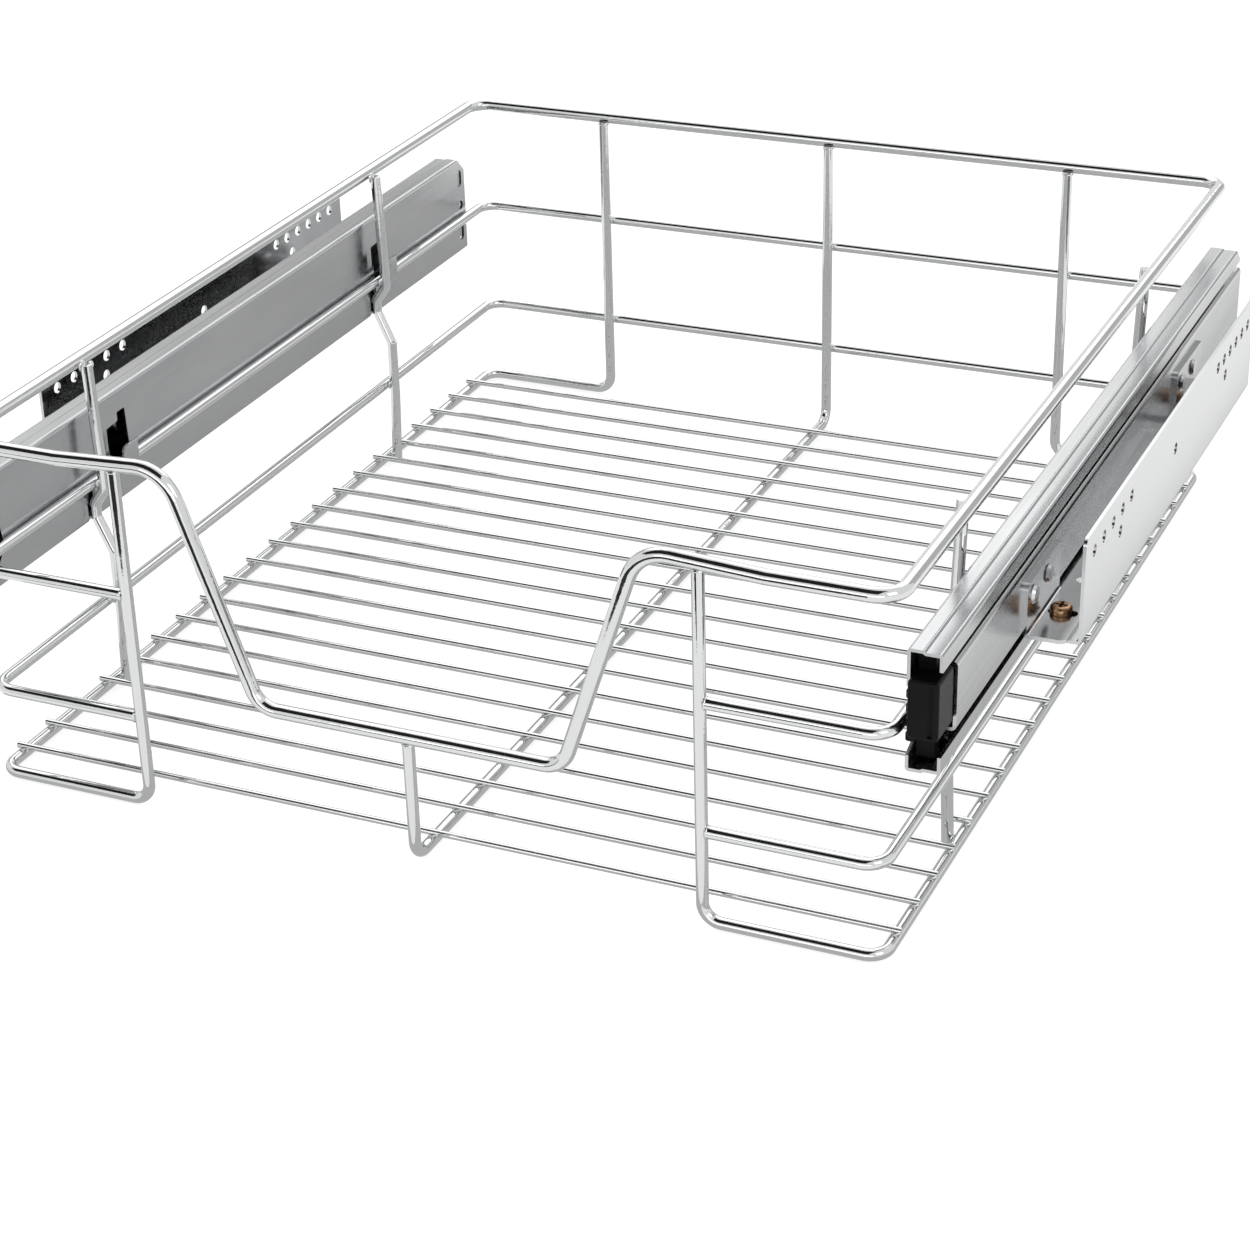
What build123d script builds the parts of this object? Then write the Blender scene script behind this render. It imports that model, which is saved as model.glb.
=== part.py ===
from build123d import *
import os

# A pull-out wire basket for a kitchen cabinet: a welded wire basket that hangs in lanced hooks on two
# three-member ball-bearing slides, and two side brackets that screw to the cabinet walls.
# Millimetres. X to the right, Y to the back, Z up. The basket stands on Z = 0 and its front is at -Y.

# ---- driving dimensions: wires -------------------------------------------------------------------
rim_wire = 5.5          # diameter of the rim wire
hoop_wire = 4.5         # diameter of the hoops, the frame wires and the side uprights
cross_wire = 2.5        # diameter of the thin floor wires
weld = 0.3              # how far resistance-welded wires sink into each other

# ---- driving dimensions: basket ------------------------------------------------------------------
basket_depth = 430      # over the wires
rim_half_width = 178    # centre lines
middle_half_width = 176
lower_half_width = 174.7
floor_half_width = 175.5
rim_height = 137        # centre line of the rim
middle_height = 87.1
lower_height = 37.6
rim_corner = 9          # bend radii at the centre line
hoop_corner = 8
frame_bend = 7

dip_top = 89.5          # half width of the front dip at the rim
crest_rise = 2.5        # the front runs climb this much towards the dip
dip_bottom = 59.5       # half width of the front dip at its low run
dip_height = 51.5       # centre line of the low run
dip_top_bend = 15
dip_bottom_bend = 10

frame_upright_x = 110.5     # the front and back uprights left and right of the middle
cross_wire_count = 21
cross_wire_pitch = 19.3
first_cross_wire_y = -198.9
cross_wire_half_length = 177.5
side_upright_ys = (-131.5, 102)

# ---- driving dimensions: slides ------------------------------------------------------------------
slide_inner_x = 178.5   # face of the basket member that the basket hangs against
slide_thickness = 12.7
slide_height = 45
slide_mid_z = 92.9
slide_back_y = 197
slide_length = 400      # basket member
bumper_space = 14       # the middle and cabinet members start this far behind the front end
sheet = 1.2             # steel of the basket and cabinet members
middle_sheet = 1.0
outer_ball = 4.2        # balls between the basket member and the middle member
inner_ball = 3.2        # balls between the middle member and the cabinet member
balls_per_row = 5
ball_pitch = 30
cage_sheet = 0.5
cage_middle_y = 0       # cages stand halfway along the slide when it is shut
hook_ys = (-109.5, 110)
hook_width = 10

# ---- driving dimensions: brackets ----------------------------------------------------------------
plate_outer_x = 211.2
plate_sheet = 1.2
plate_front_y = -112
plate_back_y = 133
plate_top_z = 118
plate_bottom_z = 78
screw_hole = 4.6
tab_sheet = 1.5
tab_front_y = -116
rear_tab_front_y = 86.5
tab_length = 40
tab_top_z = 99.5
adjust_screw_x = 199
adjust_slot_inner = 194.2
adjust_slot_outer = 205
adjust_slot_width = 5.2

# ---- derived places ------------------------------------------------------------------------------
front_y = -(basket_depth - rim_wire) / 2                 # centre line of the front wires
hoop_back_y = (basket_depth - hoop_wire) / 2
upright_back_y = hoop_back_y - hoop_wire + weld          # back uprights stand inside the hoops
rim_back_y = hoop_back_y - 1.75
floor_z = hoop_wire / 2
cross_wire_z = hoop_wire + cross_wire / 2 - weld
hoop_end_x = frame_upright_x + hoop_wire / 2 - weld      # hoop ends butt on the front uprights
dip_lead = (rim_half_width + dip_top) / 2                # where the front runs begin to climb
climb = crest_rise * (dip_lead - frame_upright_x) / (dip_lead - dip_top)
rim_underside = rim_height + climb - rim_wire / 2 + 2 * weld
dip_underside = dip_height - rim_wire / 2 + 2 * weld
back_upright_top = rim_height - 1.5
slide_outer_x = slide_inner_x + slide_thickness
slide_front_y = slide_back_y - slide_length
inner_front_y = slide_front_y + bumper_space
flange_z = plate_bottom_z + plate_sheet                  # top of the bracket's floor flange
tab_z = flange_z + tab_sheet                             # top of the tab's foot
plate_middle_y = (plate_front_y + plate_back_y) / 2
tab_back_y = tab_front_y + tab_length
tab_front_ys = (tab_front_y, rear_tab_front_y)
adjust_screw_ys = [start + tab_length / 2 + 1 for start in tab_front_ys]
cage_length = (balls_per_row - 1) * ball_pitch + 16

os.makedirs("parts", exist_ok=True)


def finish(piece, name):
    """Name a finished piece and write its file."""
    piece.part.label = name
    export_step(piece.part, f"parts/{name}.step")


def finish_pair(piece, name):
    """Write the right-hand piece and its mirrored left-hand twin."""
    finish(piece, name + "_right")
    with BuildPart() as twin:
        mirror(piece.part, about=Plane.YZ)
    finish(twin, name + "_left")


def run_wire(path, diameter):
    """Sweep a round wire along the path, inside the open part."""
    with BuildSketch(Plane(origin=path @ 0, z_dir=path % 0)) as section:
        Circle(diameter / 2)
    sweep(sections=section.sketch, path=path)


# ==== wire basket =================================================================================

# The rim is bent in two planes: level round the sides and the back, upright across the front.
crest = rim_height + crest_rise
with BuildPart() as rim:
    with BuildLine() as rim_sides:
        FilletPolyline(
            (-dip_lead, front_y, rim_height), (-rim_half_width, front_y, rim_height),
            (-rim_half_width, rim_back_y, rim_height), (rim_half_width, rim_back_y, rim_height),
            (rim_half_width, front_y, rim_height), (dip_lead, front_y, rim_height),
            radius=rim_corner)
    run_wire(rim_sides.wire(), rim_wire)
    with BuildLine(Plane.XZ.offset(-front_y)) as rim_front:
        Polyline(
            (-dip_lead, rim_height), (-dip_top, crest), (-dip_bottom, dip_height),
            (dip_bottom, dip_height), (dip_top, crest), (dip_lead, rim_height))
        fillet(rim_front.vertices().group_by(Axis.Z)[-1], dip_top_bend)
        fillet(rim_front.vertices().group_by(Axis.Z)[0], dip_bottom_bend)
    run_wire(rim_front.wire(), rim_wire)
finish(rim, "rim_wire")


def hoop(half_width, z):
    """A hoop round the sides and the back, with a short return at each front corner."""
    with BuildPart() as piece:
        with BuildLine() as path:
            FilletPolyline(
                (-hoop_end_x, front_y, z), (-half_width, front_y, z),
                (-half_width, hoop_back_y, z), (half_width, hoop_back_y, z),
                (half_width, front_y, z), (hoop_end_x, front_y, z),
                radius=hoop_corner)
        run_wire(path.wire(), hoop_wire)
    return piece


finish(hoop(middle_half_width, middle_height), "middle_hoop")
finish(hoop(lower_half_width, lower_height), "lower_hoop")

# One bent wire makes a front upright, its edge of the floor and the back upright.
with BuildPart() as side_frame:
    with BuildLine() as side_frame_path:
        FilletPolyline(
            (frame_upright_x, front_y, rim_underside), (frame_upright_x, front_y, floor_z),
            (floor_half_width, front_y, floor_z), (floor_half_width, upright_back_y, floor_z),
            (frame_upright_x, upright_back_y, floor_z), (frame_upright_x, upright_back_y, back_upright_top),
            radius=frame_bend)
    run_wire(side_frame_path.wire(), hoop_wire)
finish_pair(side_frame, "frame_wire")

with BuildPart() as centre_frame:
    with BuildLine() as centre_frame_path:
        FilletPolyline(
            (0, front_y, dip_underside), (0, front_y, floor_z),
            (0, upright_back_y, floor_z), (0, upright_back_y, back_upright_top),
            radius=frame_bend)
    run_wire(centre_frame_path.wire(), hoop_wire)
finish(centre_frame, "frame_wire_centre")

# The thin wires of the floor lie across the three frame wires.
with BuildPart() as cross_wires:
    for k in range(cross_wire_count):
        wire_y = first_cross_wire_y + k * cross_wire_pitch
        with BuildSketch(Plane(origin=(-cross_wire_half_length, wire_y, cross_wire_z), z_dir=(1, 0, 0))):
            Circle(cross_wire / 2)
        extrude(amount=2 * cross_wire_half_length)
finish(cross_wires, "floor_cross_wires")

# A side upright runs down inside the rim and both hoops. Level with the slide's lower edge it jogs
# outwards into a notch of the basket member, which keys the basket fore and aft.
rim_side_x = rim_half_width - (rim_wire + hoop_wire) / 2 + weld
middle_side_x = middle_half_width - hoop_wire + weld
lower_side_x = lower_half_width - hoop_wire + weld
floor_side_x = floor_half_width - hoop_wire + 2 * weld
jog_x = slide_inner_x - 1.5
for place, upright_y in zip(("front", "rear"), side_upright_ys):
    with BuildPart() as side_upright:
        with BuildLine(Plane.XZ.offset(-upright_y)) as side_upright_path:
            FilletPolyline(
                (rim_side_x, rim_height - 1), (middle_side_x, middle_height + 5), (middle_side_x, 84.5),
                (jog_x, 77.5), (jog_x, 72.5), (lower_side_x, 58), (lower_side_x, lower_height - 5),
                (floor_side_x, 1), radius=3)
        run_wire(side_upright_path.wire(), hoop_wire)
    finish_pair(side_upright, f"side_upright_{place}")


# ==== slides ======================================================================================
# Sections are drawn in u, outwards from the basket member's face, and v, up from the middle height.

def section_line(*points, radius):
    """A symmetric sheet section from its upper half, listed from the lip to the web."""
    upper = [(slide_inner_x + u, slide_mid_z + v) for u, v in points]
    lower = [(slide_inner_x + u, slide_mid_z - v) for u, v in reversed(points)]
    return FilletPolyline(*upper, *lower, radius=radius)


def roll_form(back_y, length, thickness, *points, radius=0.9):
    """Roll-formed sheet: the section's centre line at the given thickness, extruded to the front."""
    with BuildSketch(Plane.XZ.offset(-back_y)) as section:
        with BuildLine():
            section_line(*points, radius=radius)
        trace(line_width=thickness)
    extrude(section.sketch, amount=length)


# The basket member: the big channel, open to the outside, with a stepped flange that is the race of
# the outer balls, two lanced hooks, two notches for the uprights and a cut-out for the bumper.
web_u = sheet / 2
flange_v = slide_height / 2 - sheet / 2
race_v = flange_v - 0.6
lip_u = 11.6
hook_reach = middle_half_width - hoop_wire / 2 - sheet / 2 - 0.1 - slide_inner_x
hook_floor = middle_height - hoop_wire / 2 - sheet / 2 - 0.05
hook_top = middle_height + 4
window_top = slide_mid_z + 13.5
window_sill = hook_floor - 2.2
window_step = middle_height + 6
with BuildPart() as basket_member:
    roll_form(slide_back_y, slide_length, sheet,
              (lip_u, 15.6), (lip_u, race_v), (6.2, race_v), (5.4, flange_v), (web_u, flange_v), radius=0.7)
    for hook_y in hook_ys:
        # the window that the hook is lanced from: a narrow notch above, a wide step towards the front
        with BuildSketch(Plane.YZ.offset(slide_inner_x - 1)):
            with BuildLine():
                FilletPolyline(
                    (hook_y - 6, window_sill), (hook_y - 6, window_step), (hook_y - 11.5, window_step),
                    (hook_y - 11.5, window_top - 4.5), (hook_y + 1.5, window_top - 3.5),
                    (hook_y + 1.5, window_top), (hook_y + 7, window_top), (hook_y + 8, window_sill + 6),
                    (hook_y + 5.5, window_sill + 5), (hook_y + 5.5, window_sill), radius=0.5, close=True)
            make_face()
        extrude(amount=sheet + 1.4, mode=Mode.SUBTRACT)
        # the hook itself, bent round the middle hoop
        with BuildSketch(Plane.XZ.offset(-hook_y - hook_width / 2)):
            with BuildLine():
                FilletPolyline(
                    (slide_inner_x + web_u, window_sill - 3), (slide_inner_x + web_u, hook_floor),
                    (slide_inner_x + hook_reach, hook_floor), (slide_inner_x + hook_reach, hook_top),
                    radius=1.2)
            trace(line_width=sheet)
        extrude(amount=hook_width)
    # notches that take the jogs of the side uprights, open to the lower edge
    for upright_y in side_upright_ys:
        with BuildSketch(Plane.YZ.offset(slide_inner_x - 1)):
            with Locations((upright_y, slide_mid_z - slide_height / 2 + 6)):
                SlotOverall(18, 6, rotation=90)
        extrude(amount=sheet + 1.4, mode=Mode.SUBTRACT)
    # cut-out for the bumper at the front end, and the clipped corner at the back end
    with BuildSketch(Plane.YZ.offset(slide_inner_x - 1)):
        with BuildLine():
            FilletPolyline(
                (slide_front_y - 1, slide_mid_z + 8.8), (slide_front_y + 9, slide_mid_z + 8.8),
                (slide_front_y + 12.6, slide_mid_z + 11), (slide_front_y + 11.8, slide_mid_z + 4),
                (slide_front_y + 13.4, slide_mid_z - 8), (slide_front_y + 9, slide_mid_z - 13.5),
                (slide_front_y - 1, slide_mid_z - 17), radius=0.6, close=True)
        make_face()
    extrude(amount=sheet + 1.4, mode=Mode.SUBTRACT)
    with BuildSketch(Plane.YZ.offset(slide_inner_x - 1)):
        with Locations((slide_back_y, slide_mid_z + slide_height / 2)):
            Rectangle(9, 9, rotation=45)
    extrude(amount=slide_thickness + 2, mode=Mode.SUBTRACT)
    # slot, round hole, slot near the back end
    with BuildSketch(Plane.YZ.offset(slide_inner_x - 1)):
        with Locations((slide_back_y - 5, slide_mid_z + 13), (slide_back_y - 5, slide_mid_z - 13)):
            SlotOverall(8, 4, rotation=90)
        with Locations((slide_back_y - 5, slide_mid_z)):
            Circle(2.2)
    extrude(amount=sheet + 2, mode=Mode.SUBTRACT)
finish_pair(basket_member, "basket_member")

# The middle member: an S-shaped flange carries the outer balls above and the inner balls below.
middle_web_u = 2.7
bulge_v = 16.9
dip_v = 15.6
with BuildPart() as middle_member:
    roll_form(slide_back_y, slide_length - bumper_space, middle_sheet,
              (9.9, dip_v), (7.1, dip_v), (6.1, bulge_v), (middle_web_u, bulge_v), radius=0.6)
    # two windows behind the hooks and a slot halfway
    with BuildSketch(Plane.YZ.offset(slide_inner_x + middle_web_u - 1)):
        with Locations(*[(hook_y + 4, slide_mid_z) for hook_y in hook_ys]):
            RectangleRounded(15, 27, 2)
        with Locations((0, slide_mid_z)):
            SlotOverall(24, 8)
    extrude(amount=2, mode=Mode.SUBTRACT)
finish_pair(middle_member, "middle_member")

# The cabinet member: the smallest channel, its web outside, riveted to the bracket's tabs.
member_web_u = slide_thickness - sheet / 2
member_v = 12.2
rivet_ys = [start + step for start in tab_front_ys for step in (8, 25)]
with BuildPart() as cabinet_member:
    roll_form(slide_back_y, slide_length - bumper_space, sheet,
              (4.4, member_v), (member_web_u, member_v), radius=1.2)
    with BuildSketch(Plane.YZ.offset(slide_outer_x - sheet - 1)):
        with Locations(*[(y, slide_mid_z) for y in rivet_ys]):
            Circle(2)
    extrude(amount=sheet + 2, mode=Mode.SUBTRACT)
finish_pair(cabinet_member, "cabinet_member")

# Ball cages. The outer one folds round the middle member, the inner one round the cabinet member.
outer_ball_at = (8.6, 18.4)
inner_ball_at = (5.0, 14.6)
first_ball_y = cage_middle_y - (balls_per_row - 1) / 2 * ball_pitch
ball_ys = [first_ball_y + k * ball_pitch for k in range(balls_per_row)]


def ball_cage(web_u, ball_at, reach_u, ball):
    """A folded strip with a round pocket for every ball of the upper and the lower row."""
    u, v = ball_at
    with BuildPart() as piece:
        cage_back_y = cage_middle_y + cage_length / 2
        roll_form(cage_back_y, cage_length, cage_sheet, (reach_u, v), (web_u, v), radius=0.4)
        with BuildSketch(Plane.XY.offset(slide_mid_z - v - 1)):
            with Locations(*[(slide_inner_x + u, y) for y in ball_ys]):
                Circle(ball / 2 - 0.1)
        extrude(amount=2 * v + 2, mode=Mode.SUBTRACT)
    return piece


def ball_rows(ball_at, ball):
    u, v = ball_at
    with BuildPart() as piece:
        with Locations(*[(slide_inner_x + u, y, slide_mid_z + s * v) for y in ball_ys for s in (-1, 1)]):
            Sphere(ball / 2)
    return piece


finish_pair(ball_cage(1.7, outer_ball_at, 10.3, outer_ball), "outer_ball_cage")
finish_pair(ball_rows(outer_ball_at, outer_ball), "outer_balls")
finish_pair(ball_cage(3.8, inner_ball_at, 8.6, inner_ball), "inner_ball_cage")
finish_pair(ball_rows(inner_ball_at, inner_ball), "inner_balls")

# The bumper: a moulded block in the front end of the basket member. Its ribbed back shows through the
# cut-out, its nose stands a little proud, and the channel stays open above and below it.
nose_y = slide_front_y - 3
nose_mid_z = slide_mid_z + 2
nose_height = 21.5
bumper_squeeze = 0.05   # how far the moulding presses into the member's web
with BuildPart() as bumper:
    # nose and body in one block with rounded edges
    with BuildSketch(Plane.XZ.offset(-inner_front_y + 2.5)):
        with Locations((slide_inner_x + sheet + 5.4 - bumper_squeeze, nose_mid_z)):
            RectangleRounded(10.8, nose_height, 1.5)
    extrude(amount=inner_front_y - 2.5 - nose_y)
    fillet(bumper.faces().sort_by(Axis.Y)[0].edges(), 1)
    # legs that snap in under the two flanges
    with BuildSketch(Plane.YZ.offset(slide_inner_x + sheet + 0.6)):
        with Locations((slide_front_y + 8.5, slide_mid_z)):
            RectangleRounded(5, slide_height - 2 * sheet - 2.4, 0.8)
    extrude(amount=6.2)
    # ribs that grip the cut-out
    for k in range(4):
        with BuildSketch(Plane.XZ.offset(-(slide_front_y + 11))):
            with Locations((slide_inner_x + 1.9, slide_mid_z + 6.4 - 5.2 * k)):
                RectangleRounded(3.4, 3.6, 0.8)
        extrude(amount=11.6)
    # the upright groove down the outer half of the nose
    with BuildSketch(Plane.XY.offset(nose_mid_z - 9.5)):
        with Locations((slide_outer_x - 3.6, nose_y)):
            Rectangle(1.4, 2, rotation=20)
    extrude(amount=19, mode=Mode.SUBTRACT)
finish_pair(bumper, "bumper")


# ==== side brackets ===============================================================================

# The bracket plate: an angle with a wall against the cabinet side and a narrow floor flange.
front_screw_ys = [plate_front_y + 11 + 12 * k for k in range(5)]
rear_screw_ys = [plate_back_y - 10.5 - 9.7 * k for k in range(6)]
single_screw_ys = [plate_middle_y + 77 * k for k in (-1, 0, 1)]
screw_row_z = plate_top_z - 8.5
single_row_z = plate_top_z - 16.5
flange_inner_x = slide_outer_x + 0.2
wall_x = plate_outer_x - plate_sheet / 2
with BuildPart() as bracket_plate:
    with BuildSketch(Plane.XZ.offset(-plate_back_y)):
        with BuildLine():
            FilletPolyline(
                (wall_x, plate_top_z), (wall_x, flange_z - plate_sheet / 2),
                (flange_inner_x, flange_z - plate_sheet / 2), radius=1.4)
        trace(line_width=plate_sheet)
    extrude(amount=plate_back_y - plate_front_y)
    fillet(bracket_plate.edges().filter_by(Axis.X).group_by(Axis.Z)[-1], 3)
    with BuildSketch(Plane.YZ.offset(plate_outer_x - plate_sheet - 1)):
        with Locations(*[(y, screw_row_z) for y in front_screw_ys + rear_screw_ys],
                       *[(y, single_row_z) for y in single_screw_ys]):
            Circle(screw_hole / 2)
    extrude(amount=plate_sheet + 2, mode=Mode.SUBTRACT)
    # in the floor flange: the two threaded holes of the adjusting screws and two plain ones
    plain_ys = [tab_back_y + 11, rear_tab_front_y - 11]
    with BuildSketch(Plane.XY.offset(plate_bottom_z - 1)):
        with Locations(*[(adjust_screw_x, y) for y in adjust_screw_ys],
                       *[(adjust_screw_x - 0.8, y) for y in plain_ys]):
            Circle(2.3)
    extrude(amount=plate_sheet + 2, mode=Mode.SUBTRACT)
finish_pair(bracket_plate, "bracket_plate")

# Angle tabs carry the cabinet member. Their feet lie on the floor flange, with a crosswise slot.
leg_x = slide_outer_x + tab_sheet / 2
foot_z = tab_z - tab_sheet / 2
foot_end_x = plate_outer_x - plate_sheet - 3.4
for place, start_y, screw_y in zip(("front", "rear"), tab_front_ys, adjust_screw_ys):
    with BuildPart() as tab:
        with BuildSketch(Plane.XZ.offset(-start_y - tab_length)):
            with BuildLine():
                FilletPolyline((leg_x, tab_top_z), (leg_x, foot_z), (foot_end_x, foot_z), radius=1.6)
            trace(line_width=tab_sheet)
        extrude(amount=tab_length)
        fillet(tab.edges().filter_by(Axis.X).group_by(Axis.Z)[-1], 2.5)
        fillet(tab.edges().filter_by(Axis.Z).group_by(Axis.X)[-1], 2.5)
        slot_middle = (adjust_slot_inner + adjust_slot_outer) / 2
        with BuildSketch(Plane.XY.offset(tab_z - tab_sheet - 1)):
            with Locations((slot_middle, screw_y)):
                SlotOverall(adjust_slot_outer - adjust_slot_inner, adjust_slot_width)
        extrude(amount=tab_sheet + 1.5, mode=Mode.SUBTRACT)
        with BuildSketch(Plane.YZ.offset(slide_outer_x - 1)):
            with Locations(*[(y, slide_mid_z) for y in rivet_ys]):
                Circle(2)
        extrude(amount=tab_sheet + 2, mode=Mode.SUBTRACT)
    finish_pair(tab, f"tab_{place}")

# Rivets through each tab and the cabinet member: a domed head outside, a flat set head inside.
def rivet_plane(x, y, outwards):
    return Plane(origin=(x, y, slide_mid_z), x_dir=(0, 1, 0), z_dir=(outwards, 0, 0))


with BuildPart() as rivets:
    for y in rivet_ys:
        with BuildSketch(rivet_plane(slide_outer_x - sheet, y, 1)):
            Circle(2.05)
        extrude(amount=sheet + tab_sheet)
        with BuildSketch(rivet_plane(slide_outer_x + tab_sheet - 0.05, y, 1)):
            Circle(3.6)
        extrude(amount=1.1, taper=35)
        with BuildSketch(rivet_plane(slide_outer_x - sheet + 0.05, y, -1)):
            Circle(3)
        extrude(amount=0.7)
finish_pair(rivets, "rivets")

# Adjusting screws: pan head with a cross recess, through the tab's slot into the flange and a nut.
head_z = tab_z + 0.15
with BuildPart() as adjust_screws:
    for y in adjust_screw_ys:
        with BuildSketch(Plane.XY.offset(head_z)):
            with Locations((adjust_screw_x, y)):
                Circle(4.1)
        extrude(amount=2.9)
        with BuildSketch(Plane.XY.offset(head_z)):
            with Locations((adjust_screw_x, y)):
                Circle(2.35)
        extrude(amount=-8)
    fillet(adjust_screws.edges().group_by(Axis.Z)[-1], 1.8)
    for y in adjust_screw_ys:
        with BuildSketch(Plane.XY.offset(head_z + 1.2)):
            with Locations((adjust_screw_x, y)):
                Rectangle(4.6, 1.1)
                Rectangle(1.1, 4.6)
        extrude(amount=3, mode=Mode.SUBTRACT)
finish_pair(adjust_screws, "adjust_screws")

with BuildPart() as adjust_nuts:
    for y in adjust_screw_ys:
        with BuildSketch(Plane.XY.offset(plate_bottom_z)):
            with Locations((adjust_screw_x, y)):
                RegularPolygon(4.5, 6)
                Circle(2.3, mode=Mode.SUBTRACT)
        extrude(amount=-3.6)
finish_pair(adjust_nuts, "adjust_nuts")
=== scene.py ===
import math

import bpy
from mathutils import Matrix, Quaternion, Vector


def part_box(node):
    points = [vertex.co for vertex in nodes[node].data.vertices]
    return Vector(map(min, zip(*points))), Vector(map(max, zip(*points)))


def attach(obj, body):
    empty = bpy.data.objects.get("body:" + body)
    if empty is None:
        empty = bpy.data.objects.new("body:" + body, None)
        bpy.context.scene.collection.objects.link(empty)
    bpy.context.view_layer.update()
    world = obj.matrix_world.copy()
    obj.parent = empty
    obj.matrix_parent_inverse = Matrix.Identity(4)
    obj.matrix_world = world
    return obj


# A chromed wire basket on two zinc-plated ball-bearing slides, with side brackets, on a pale studio
# floor. Metres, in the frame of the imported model: X to the right, Y to the back, Z up.
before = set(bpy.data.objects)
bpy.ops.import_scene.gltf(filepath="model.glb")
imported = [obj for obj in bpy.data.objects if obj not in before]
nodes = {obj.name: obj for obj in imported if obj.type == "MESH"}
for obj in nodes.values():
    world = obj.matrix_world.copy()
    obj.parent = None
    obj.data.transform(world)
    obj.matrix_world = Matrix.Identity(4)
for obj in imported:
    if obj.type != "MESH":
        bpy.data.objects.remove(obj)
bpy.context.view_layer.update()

# ---- places read from the frame ------------------------------------------------------------------
rim_low, rim_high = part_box("rim_wire")
cross_low, cross_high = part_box("floor_cross_wires")
hoop_low, hoop_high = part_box("lower_hoop")
mid_hoop_low, mid_hoop_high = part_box("middle_hoop")
centre_low, centre_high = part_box("frame_wire_centre")
side_frame_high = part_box("frame_wire_right")[1]
basket_member_low, basket_member_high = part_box("basket_member_right")
cabinet_member_low, cabinet_member_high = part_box("cabinet_member_right")

# ---- driving sizes -------------------------------------------------------------------------------
SIDE_SIGNS = (-1, 1)  # left, right
HOOP_WIRE = hoop_high.z - hoop_low.z
CROSS_WIRE = cross_high.z - cross_low.z
RIM_WIRE = 0.0055
CROSS_COUNT = 21
FRAME_UPRIGHT_X = 0.1105
DIP_HEIGHT = 0.0515
RIM_LEVEL = centre_high.z + 0.0015  # the rim wire's centre line
MIDDLE_HOOP_LEVEL = (mid_hoop_low.z + mid_hoop_high.z) / 2
LOWER_HOOP_LEVEL = (hoop_low.z + hoop_high.z) / 2
SHEET = 0.0012
SLIDE_THICKNESS = 0.0127
SMOOTH_ANGLE = math.radians(40)

# ---- welds: width, depth and height of the squeezed metal, and where it sits ---------------------
FLOOR_WELD = (0.0034, 0.0028, 0.0014)
HOOP_WELD = (0.0048, 0.0046, 0.0015)
END_WELD = (0.0052, 0.0052, 0.0016)
WELD_UNEVENNESS = 0.0001
FLOOR_WELD_SINK = 0.00015     # its middle, below the top of the frame wire
RIM_WELD_DROP = 0.0018        # its middle, below the rim's centre line
FLOOR_EDGE_WELD_LIFT = 0.0004  # keeps it above the floor
FRONT_COLLAR_DROP = 0.0006    # below the top of the front upright
BACK_COLLAR_DROP = 0.001      # below the top of the back upright
LYING = (0, 0, 0)
FACING_SIDEWAYS = (0, math.pi / 2, 0)
FACING_BACK = (math.pi / 2, 0, 0)

# ---- flared ends of the hooks --------------------------------------------------------------------
HOOK_WIDTH = 0.01
HOOK_YS = (-0.1095, 0.11)
HOOK_CLEARANCE = 0.0001       # between the tongue and the hoop's inner side
TONGUE_RISE = 0.004           # the tongue's top above the hoop's centre line
LIP_ROOT_HEIGHT = 0.0016
LIP_ROOT_LIFT = 0.0006        # the root's middle above the tongue's top
LIP_STEPS = ((0.0014, -0.0003, 1.0), (0.0013, -0.0006, 0.96), (0.0011, -0.0008, 0.8))
LIP_EDGE = 0.0002

# ---- grip ribs of the bumpers --------------------------------------------------------------------
RIB_COUNT = 3
RIB_RADIUS = 0.0019
RIB_LENGTH = 0.0098
RIB_FLATNESS = 0.9
RIB_EDGE = 0.0006
RIB_PITCH = 0.0041
RIB_DEPTH_IN_WEB = 0.0009     # the rib's axis, behind the web's face on the basket's side
RIB_SETBACK = 0.0055          # the rib's middle, behind the member's front end
TOP_RIB_RISE = 0.0076         # the upper rib's axis above the slide's middle

# ---- studio and camera ---------------------------------------------------------------------------
OBJECT_MIDDLE = (0, 0, 0.07)
FLOOR_SIZE = 14
FLOOR_LEVEL = -0.0004
FLOOR_TONE = (0.6, 0.6, 0.6)
FLOOR_LIFT = 0.7              # the floor's own light where it is seen
WORLD_FILL = 0.55             # the world's strength where it lights

SOFTBOXES = (
    # name, place, width, height, power
    ("far_softbox", (-0.5, 1.15, 1.5), 2.6, 1.7, 14),
    ("side_softbox", (1.5, -0.9, 1.0), 0.8, 0.8, 5),
    ("low_softbox", (0.2, -2.8, 0.3), 3.2, 0.8, 9),
)
CARDS = (
    # name, place, aim, width, height, tone
    ("ceiling_card", (-0.9, -1.35, 1.6), (-0.9, -1.35, 0), 3.2, 2.1, 0.02),
    ("floor_card", (0.02, 0.13, -0.0002), (0.02, 0.13, -1), 0.46, 0.72, 0.62),
    ("front_floor_card", (-0.14, -0.8, -0.0001), (-0.14, -0.8, -1), 0.44, 0.76, 0.04),
    ("far_right_card", (1.0, 2.2, 0.95), OBJECT_MIDDLE, 1.3, 1.6, 0.62),
    ("far_left_card", (-1.65, 1.5, 0.9), OBJECT_MIDDLE, 1.5, 1.3, 0.5),
)

SENSOR_WIDTH = 36
LENS = 85.04
SHIFT_X, SHIFT_Y = 0.03, 0.06
CAMERA_PLACE = (0.4414, -0.9991, 0.5521)
CAMERA_AIM = (0.0541, -0.1791, 0.06)
CAMERA_ROLL = math.radians(-2.01)


# ==== materials ===================================================================================

NOISE_LOW, NOISE_HIGH = 0.3, 0.7  # the noise's range that is spread over a finish
EVEN = (1, 1, 1)                  # noise that isn't stretched


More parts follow.
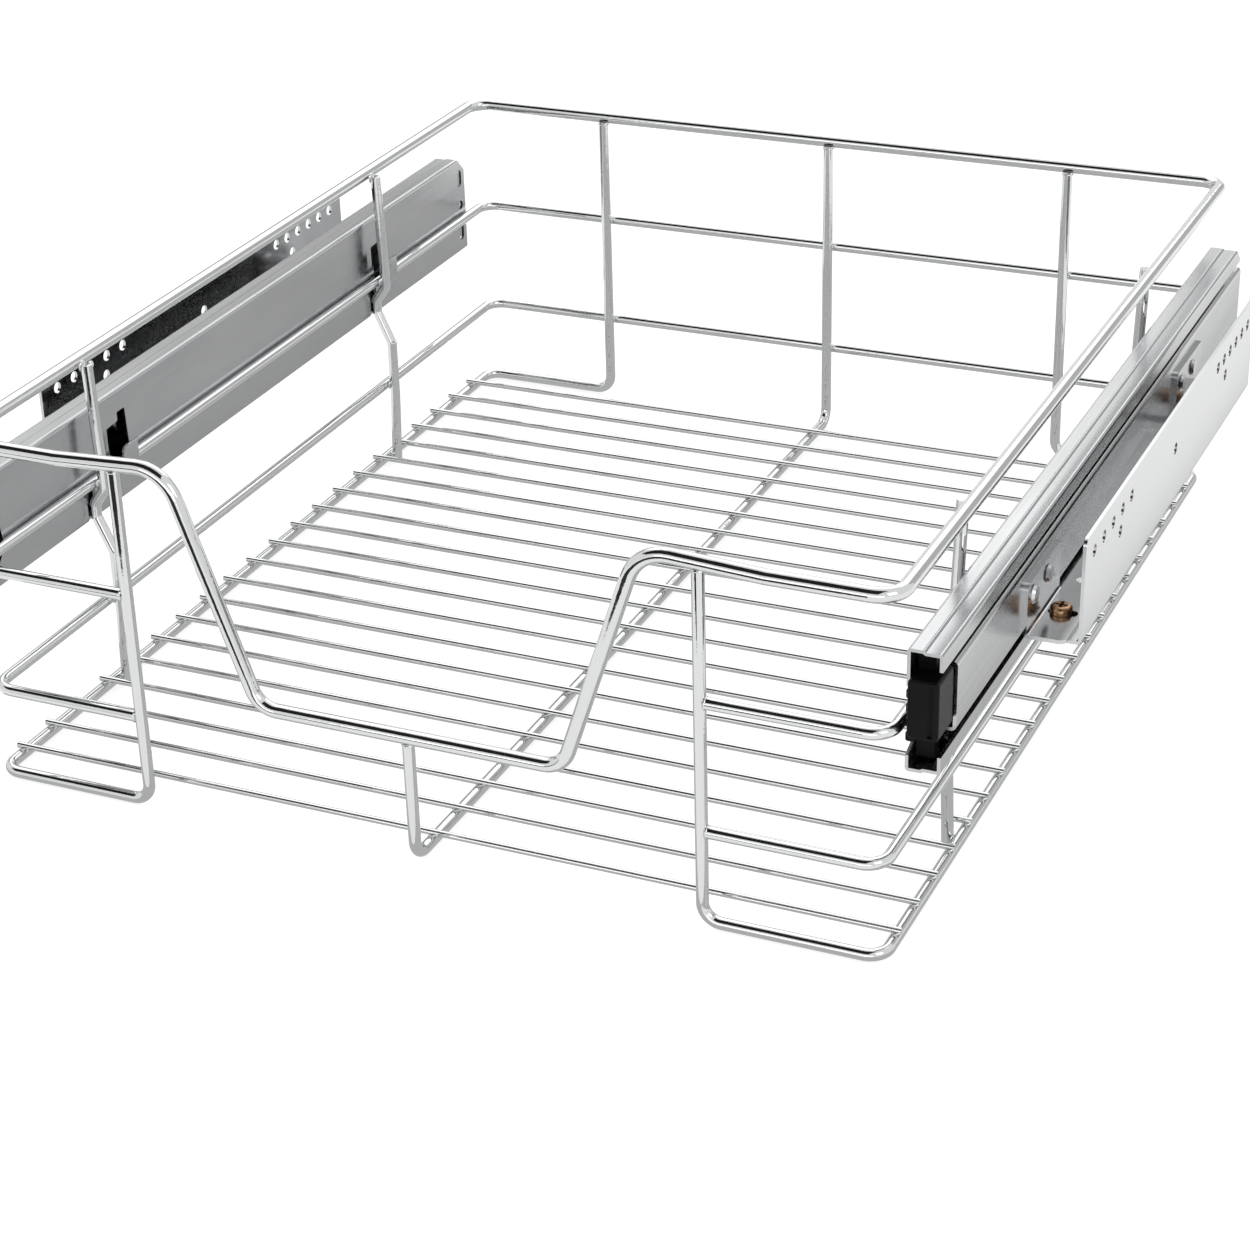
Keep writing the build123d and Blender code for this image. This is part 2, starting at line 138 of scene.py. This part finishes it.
def new_material(name, colour, metallic, roughness):
    """A material with one Principled shader, whose constants stand on its own sockets."""
    material = bpy.data.materials.new(name)
    material.use_nodes = True
    shader = material.node_tree.nodes["Principled BSDF"]
    shader.inputs["Base Color"].default_value = (*colour, 1)
    shader.inputs["Metallic"].default_value = metallic
    shader.inputs["Roughness"].default_value = roughness
    return material, shader


def object_noise(material, stretch, scale, detail):
    """Noise on Object coordinates, stretched per axis; returns its Factor socket."""
    tree = material.node_tree
    coordinates = tree.nodes.new("ShaderNodeTexCoord")
    mapping = tree.nodes.new("ShaderNodeMapping")
    mapping.inputs["Scale"].default_value = stretch
    noise = tree.nodes.new("ShaderNodeTexNoise")
    noise.inputs["Scale"].default_value = scale
    noise.inputs["Detail"].default_value = detail
    tree.links.new(coordinates.outputs["Object"], mapping.inputs["Vector"])
    tree.links.new(mapping.outputs["Vector"], noise.inputs["Vector"])
    return noise.outputs["Fac"]


def vary_roughness(material, shader, factor, low, high):
    """Lets the noise carry the roughness between two values."""
    tree = material.node_tree
    spread = tree.nodes.new("ShaderNodeMapRange")
    spread.inputs["From Min"].default_value = NOISE_LOW
    spread.inputs["From Max"].default_value = NOISE_HIGH
    spread.inputs["To Min"].default_value = low
    spread.inputs["To Max"].default_value = high
    tree.links.new(factor, spread.inputs["Value"])
    tree.links.new(spread.outputs["Result"], shader.inputs["Roughness"])


def vary_colour(material, shader, factor, dark, light):
    """Lets the noise carry the base colour between two tones."""
    tree = material.node_tree
    ramp = tree.nodes.new("ShaderNodeValToRGB")
    ramp.color_ramp.elements[0].position = NOISE_LOW
    ramp.color_ramp.elements[0].color = (*dark, 1)
    ramp.color_ramp.elements[1].position = NOISE_HIGH
    ramp.color_ramp.elements[1].color = (*light, 1)
    tree.links.new(factor, ramp.inputs["Fac"])
    tree.links.new(ramp.outputs["Color"], shader.inputs["Base Color"])


def add_bump(material, shader, factor, strength, distance):
    """Raises the surface a little by the noise."""
    tree = material.node_tree
    bump = tree.nodes.new("ShaderNodeBump")
    bump.inputs["Strength"].default_value = strength
    bump.inputs["Distance"].default_value = distance
    tree.links.new(factor, bump.inputs["Height"])
    tree.links.new(bump.outputs["Normal"], shader.inputs["Normal"])


def chrome_plate():
    """Bright chrome over drawn wire: almost a mirror, with the faint waviness of plating."""
    material, shader = new_material("chrome_plate", (0.64, 0.645, 0.65), 1.0, 0.07)
    waves = object_noise(material, EVEN, scale=260, detail=2)
    vary_roughness(material, shader, waves, 0.04, 0.11)
    add_bump(material, shader, waves, strength=0.12, distance=0.0004)
    return material


def zinc_plate():
    """Zinc-plated strip steel, with the rolling streaks along the slide."""
    material, shader = new_material("zinc_plate", (0.60, 0.61, 0.62), 1.0, 0.3)
    streaks = object_noise(material, (90, 2, 90), scale=4, detail=2)
    clouds = object_noise(material, (1, 0.3, 1), scale=22, detail=3)
    vary_colour(material, shader, clouds, (0.43, 0.435, 0.44), (0.51, 0.515, 0.52))
    vary_roughness(material, shader, streaks, 0.18, 0.26)
    add_bump(material, shader, streaks, strength=0.02, distance=0.0001)
    return material


def bracket_zinc():
    """The same plating on the pressed brackets: a little paler and more even."""
    material, shader = new_material("bracket_zinc", (0.66, 0.67, 0.68), 1.0, 0.32)
    clouds = object_noise(material, EVEN, scale=18, detail=2)
    vary_colour(material, shader, clouds, (0.50, 0.505, 0.51), (0.57, 0.575, 0.58))
    vary_roughness(material, shader, clouds, 0.12, 0.2)
    return material


def cage_strip():
    """Thin cage strip, darker and slightly greased."""
    material, shader = new_material("cage_strip", (0.42, 0.42, 0.41), 1.0, 0.34)
    smears = object_noise(material, (30, 6, 30), scale=6, detail=3)
    vary_roughness(material, shader, smears, 0.22, 0.46)
    vary_colour(material, shader, smears, (0.34, 0.34, 0.33), (0.48, 0.48, 0.47))
    return material


def polished_ball():
    """Polished bearing steel under a film of grease."""
    material, shader = new_material("polished_ball", (0.74, 0.74, 0.75), 1.0, 0.06)
    film = object_noise(material, EVEN, scale=900, detail=2)
    vary_roughness(material, shader, film, 0.04, 0.12)
    return material


def rivet_steel():
    """Peened heads: rougher where the tool struck them."""
    material, shader = new_material("rivet_steel", (0.60, 0.60, 0.61), 1.0, 0.3)
    dents = object_noise(material, EVEN, scale=700, detail=3)
    vary_roughness(material, shader, dents, 0.2, 0.42)
    add_bump(material, shader, dents, strength=0.3, distance=0.0003)
    return material


def bronze_finish():
    """Brown-passivated screw, brassier where the driver rubs."""
    material, shader = new_material("bronze_finish", (0.36, 0.20, 0.11), 1.0, 0.25)
    wear = object_noise(material, EVEN, scale=420, detail=4)
    vary_colour(material, shader, wear, (0.24, 0.12, 0.06), (0.50, 0.31, 0.18))
    vary_roughness(material, shader, wear, 0.16, 0.36)
    return material


def black_moulding():
    """Black moulded plastic with a fine spark-eroded grain."""
    material, shader = new_material("black_moulding", (0.003, 0.003, 0.003), 0.0, 0.34)
    shader.inputs["Specular IOR Level"].default_value = 0.12
    grain = object_noise(material, EVEN, scale=2600, detail=2)
    vary_roughness(material, shader, grain, 0.3, 0.48)
    add_bump(material, shader, grain, strength=0.25, distance=0.0001)
    return material


chrome = chrome_plate()
zinc = zinc_plate()
pressed_zinc = bracket_zinc()
cage_metal = cage_strip()
ball_metal = polished_ball()
rivet_metal = rivet_steel()
bronze = bronze_finish()
plastic = black_moulding()

# a word that stands in the names of the CAD nodes, and their finish
NODE_MATERIALS = {
    "wire": chrome, "hoop": chrome, "upright": chrome,
    "member": zinc, "cage": cage_metal, "balls": ball_metal, "bumper": plastic,
    "bracket_plate": pressed_zinc, "tab": pressed_zinc, "rivets": rivet_metal,
    "adjust_screws": bronze, "adjust_nuts": rivet_metal,
}
for node_name, node in nodes.items():
    for part_word, finish in NODE_MATERIALS.items():
        if part_word in node_name:
            node.data.materials.clear()
            node.data.materials.append(finish)


# ==== helpers for modelling =======================================================================

def clear_selection():
    """Leaves edit mode and deselects everything."""
    if bpy.context.object and bpy.context.object.mode != "OBJECT":
        bpy.ops.object.mode_set(mode="OBJECT")
    bpy.ops.object.select_all(action="DESELECT")


def edit_whole():
    """Opens the new piece in edit mode with all of it selected."""
    bpy.ops.object.mode_set(mode="EDIT")
    bpy.ops.mesh.select_all(action="SELECT")


def select_top_face(piece):
    """Leaves only the topmost face of the open mesh selected."""
    bpy.ops.mesh.select_all(action="DESELECT")
    bpy.ops.object.mode_set(mode="OBJECT")
    top = max(piece.data.polygons, key=lambda face: face.center.z)
    top.select = True
    bpy.ops.object.mode_set(mode="EDIT")


def settle(piece, name, material, body):
    """Puts a piece's place in its mesh, names it, paints it and lets it ride."""
    clear_selection()
    piece.select_set(True)
    bpy.context.view_layer.objects.active = piece
    bpy.ops.object.transform_apply(location=True, rotation=True, scale=True)
    piece.name = name
    piece.data.name = name
    piece.data.materials.clear()
    piece.data.materials.append(material)
    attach(piece, body)


def copies_joined(pattern, places):
    """Copies a small part to each place, turned as told, and joins the copies."""
    copies = []
    for place, turn in places:
        copy = pattern.copy()
        copy.data = pattern.data.copy()
        bpy.context.scene.collection.objects.link(copy)
        copy.location = place
        copy.rotation_euler = turn
        copies.append(copy)
    bpy.data.objects.remove(pattern)
    clear_selection()
    for copy in copies:
        copy.select_set(True)
    bpy.context.view_layer.objects.active = copies[0]
    bpy.ops.object.join()
    return bpy.context.object


# ==== welds =======================================================================================

def squeezed_metal(name, size, places):
    """The metal that a resistance weld squeezes out: a low cushion with an uneven edge."""
    clear_selection()
    bpy.ops.mesh.primitive_uv_sphere_add(segments=14, ring_count=7, radius=1)
    cushion = bpy.context.object
    edit_whole()
    bpy.ops.transform.resize(value=(size[0] / 2, size[1] / 2, size[2] / 2))
    bpy.ops.transform.vertex_random(offset=WELD_UNEVENNESS, seed=7)
    bpy.ops.object.mode_set(mode="OBJECT")
    bpy.ops.object.shade_smooth()
    settle(copies_joined(cushion, places), name, chrome, "basket")


def floor_welds():
    """Each thin floor wire is welded to the three frame wires that it lies across."""
    level = centre_low.z + HOOP_WIRE - FLOOR_WELD_SINK
    first = cross_low.y + CROSS_WIRE / 2
    pitch = (cross_high.y - cross_low.y - CROSS_WIRE) / (CROSS_COUNT - 1)
    edge = side_frame_high.x - HOOP_WIRE / 2
    places = [((x, first + k * pitch, level), LYING)
              for k in range(CROSS_COUNT) for x in (-edge, 0, edge)]
    squeezed_metal("floor_welds", FLOOR_WELD, places)


def hoop_welds():
    """Where the side uprights cross the rim, the hoops and the floor's edge on their inner side,
    and where the back uprights cross the hoops."""
    inner_sides = (
        (rim_high.x - RIM_WIRE, RIM_LEVEL - RIM_WELD_DROP),
        (mid_hoop_high.x - HOOP_WIRE, MIDDLE_HOOP_LEVEL),
        (hoop_high.x - HOOP_WIRE, LOWER_HOOP_LEVEL),
        (side_frame_high.x - HOOP_WIRE, HOOP_WIRE / 2 + FLOOR_EDGE_WELD_LIFT),
    )
    places = []
    for upright in ("side_upright_front_right", "side_upright_rear_right"):
        upright_low, upright_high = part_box(upright)
        y = (upright_low.y + upright_high.y) / 2
        for side in SIDE_SIGNS:
            for x, z in inner_sides:
                places.append(((side * x, y, z), FACING_SIDEWAYS))
    for x in (-FRAME_UPRIGHT_X, 0, FRAME_UPRIGHT_X):
        for z in (MIDDLE_HOOP_LEVEL, LOWER_HOOP_LEVEL):
            places.append(((x, mid_hoop_high.y - HOOP_WIRE, z), FACING_BACK))
    squeezed_metal("hoop_welds", HOOP_WELD, places)


def end_welds():
    """Collars where a wire ends square on another: the uprights under the rim, and the hoops on
    the front uprights."""
    front_y = rim_low.y + RIM_WIRE / 2
    back_y = centre_high.y - HOOP_WIRE / 2
    front_top = side_frame_high.z - FRONT_COLLAR_DROP
    back_top = centre_high.z - BACK_COLLAR_DROP
    hoop_end_x = FRAME_UPRIGHT_X + HOOP_WIRE / 2
    places = [((0, front_y, DIP_HEIGHT - RIM_WIRE / 2), LYING), ((0, back_y, back_top), LYING)]
    for side in SIDE_SIGNS:
        places.append(((side * FRAME_UPRIGHT_X, front_y, front_top), LYING))
        places.append(((side * FRAME_UPRIGHT_X, back_y, back_top), LYING))
        for z in (MIDDLE_HOOP_LEVEL, LOWER_HOOP_LEVEL):
            places.append(((side * hoop_end_x, front_y, z), FACING_SIDEWAYS))
    squeezed_metal("end_welds", END_WELD, places)


floor_welds()
hoop_welds()
end_welds()


# ==== small forms of the slides ===================================================================

def hook_lips():
    """The flared end of each lanced hook, leaning in from the tongue so that the hoop drops in."""
    clear_selection()
    tongue_x = mid_hoop_high.x - HOOP_WIRE - HOOK_CLEARANCE - SHEET / 2
    root_z = MIDDLE_HOOP_LEVEL + TONGUE_RISE + LIP_ROOT_LIFT
    bpy.ops.mesh.primitive_cube_add(size=1)
    lip = bpy.context.object
    edit_whole()
    bpy.ops.transform.resize(value=(SHEET, HOOK_WIDTH, LIP_ROOT_HEIGHT))
    for rise, lean, narrowing in LIP_STEPS:
        select_top_face(lip)
        bpy.ops.mesh.extrude_region_move(TRANSFORM_OT_translate={"value": (lean, 0, rise)})
        bpy.ops.transform.resize(value=(1, narrowing, 1))
    bpy.ops.mesh.select_all(action="SELECT")
    bpy.ops.mesh.bevel(offset=LIP_EDGE, segments=2, affect="EDGES")
    bpy.ops.mesh.normals_make_consistent(inside=False)
    bpy.ops.object.mode_set(mode="OBJECT")
    bpy.ops.object.shade_smooth_by_angle(angle=SMOOTH_ANGLE)
    places = []
    for side in SIDE_SIGNS:
        turn = 0 if side > 0 else math.pi
        for y in HOOK_YS:
            places.append(((side * tongue_x, y, root_z), (0, 0, turn)))
    settle(copies_joined(lip, places), "hook_lips", zinc, "basket")


def bumper_ribs():
    """The upper grip ribs of the bumpers, which bulge through the cut-out in the web."""
    clear_selection()
    rib_x = basket_member_high.x - SLIDE_THICKNESS + RIB_DEPTH_IN_WEB
    rib_y = basket_member_low.y + RIB_SETBACK
    top_z = (cabinet_member_low.z + cabinet_member_high.z) / 2 + TOP_RIB_RISE
    bpy.ops.mesh.primitive_cylinder_add(
        vertices=14, radius=RIB_RADIUS, depth=RIB_LENGTH, rotation=FACING_BACK)
    rib = bpy.context.object
    edit_whole()
    bpy.ops.transform.resize(value=(RIB_FLATNESS, 1, 1))
    bpy.ops.mesh.edges_select_sharp(sharpness=math.radians(60))
    bpy.ops.mesh.bevel(offset=RIB_EDGE, segments=3, affect="EDGES")
    bpy.ops.object.mode_set(mode="OBJECT")
    bpy.ops.object.shade_smooth_by_angle(angle=SMOOTH_ANGLE)
    places = [((side * rib_x, rib_y, top_z - RIB_PITCH * k), LYING)
              for side in SIDE_SIGNS for k in range(RIB_COUNT)]
    settle(copies_joined(rib, places), "bumper_ribs", plastic, "basket")


hook_lips()
bumper_ribs()


# ==== studio ======================================================================================

def facing(place, aim):
    """The turn that points an object's -Z from its place to an aim."""
    return (Vector(aim) - Vector(place)).to_track_quat("-Z", "Y")


def glowing_material(name, tone, roughness):
    """A material without a sheen that gives off white light; its strength is set by the caller."""
    material, shader = new_material(name, tone, 0.0, roughness)
    shader.inputs["Specular IOR Level"].default_value = 0.0
    shader.inputs["Emission Color"].default_value = (1, 1, 1, 1)
    return material, shader


def seen_directly(tree):
    """1 on camera, glossy and transmission rays, 0 on the rays that light the object."""
    path = tree.nodes.new("ShaderNodeLightPath")
    first = tree.nodes.new("ShaderNodeMath")
    first.operation = "MAXIMUM"
    second = tree.nodes.new("ShaderNodeMath")
    second.operation = "MAXIMUM"
    tree.links.new(path.outputs["Is Camera Ray"], first.inputs[0])
    tree.links.new(path.outputs["Is Glossy Ray"], first.inputs[1])
    tree.links.new(first.outputs["Value"], second.inputs[0])
    tree.links.new(path.outputs["Is Transmission Ray"], second.inputs[1])
    return second.outputs["Value"]


def white_world():
    """White where it is seen, a soft fill where it lights."""
    world = bpy.data.worlds.new("studio")
    world.use_nodes = True
    bpy.context.scene.world = world
    tree = world.node_tree
    background = tree.nodes["Background"]
    background.inputs["Color"].default_value = (1, 1, 1, 1)
    strength = tree.nodes.new("ShaderNodeMapRange")
    strength.inputs["To Min"].default_value = WORLD_FILL
    strength.inputs["To Max"].default_value = 1.0
    tree.links.new(seen_directly(tree), strength.inputs["Value"])
    tree.links.new(strength.outputs["Result"], background.inputs["Strength"])


def plain_floor():
    """A wide pale floor that keeps the object's shadow and clips to white in the camera."""
    clear_selection()
    bpy.ops.mesh.primitive_plane_add(size=FLOOR_SIZE, location=(0, 0, FLOOR_LEVEL))
    floor = bpy.context.object
    floor.name = "studio_floor"
    material, shader = glowing_material("pale_floor", FLOOR_TONE, 0.9)
    tree = material.node_tree
    lift = tree.nodes.new("ShaderNodeMath")
    lift.operation = "MULTIPLY"
    lift.inputs[1].default_value = FLOOR_LIFT
    tree.links.new(seen_directly(tree), lift.inputs[0])
    tree.links.new(lift.outputs["Value"], shader.inputs["Emission Strength"])
    floor.data.materials.append(material)


def softbox(name, place, width, height, power):
    """A rectangular lamp that looks at the middle of the object."""
    light = bpy.data.lights.new(name, "AREA")
    light.shape = "RECTANGLE"
    light.size = width
    light.size_y = height
    light.energy = power
    lamp = bpy.data.objects.new(name, light)
    bpy.context.scene.collection.objects.link(lamp)
    lamp.location = place
    lamp.rotation_euler = facing(place, OBJECT_MIDDLE).to_euler()


def reflected_card(name, place, aim, width, height, tone):
    """A card that is only seen as a reflection in the metal, in an even tone of its own."""
    clear_selection()
    bpy.ops.mesh.primitive_plane_add(size=1, location=place)
    card = bpy.context.object
    card.name = name
    card.scale = (width, height, 1)
    card.rotation_euler = facing(place, aim).to_euler()
    material, shader = glowing_material(name + "_cloth", (0, 0, 0), 1.0)
    shader.inputs["Emission Strength"].default_value = tone
    card.data.materials.append(material)
    card.visible_camera = False
    card.visible_diffuse = False
    card.visible_transmission = False
    card.visible_shadow = False


white_world()
plain_floor()
for softbox_values in SOFTBOXES:
    softbox(*softbox_values)
for card_values in CARDS:
    reflected_card(*card_values)


# ==== camera ======================================================================================

def photo_camera():
    """The photograph's viewing angle: from the right front, a little above the basket."""
    data = bpy.data.cameras.new("photo_camera")
    data.sensor_width = SENSOR_WIDTH
    data.lens = LENS
    data.shift_x = SHIFT_X
    data.shift_y = SHIFT_Y
    camera = bpy.data.objects.new("photo_camera", data)
    bpy.context.scene.collection.objects.link(camera)
    camera.location = CAMERA_PLACE
    camera.rotation_mode = "QUATERNION"
    roll = Quaternion((0, 0, 1), CAMERA_ROLL)
    camera.rotation_quaternion = facing(CAMERA_PLACE, CAMERA_AIM) @ roll
    bpy.context.scene.camera = camera


photo_camera()
bpy.context.scene.view_settings.view_transform = "Standard"
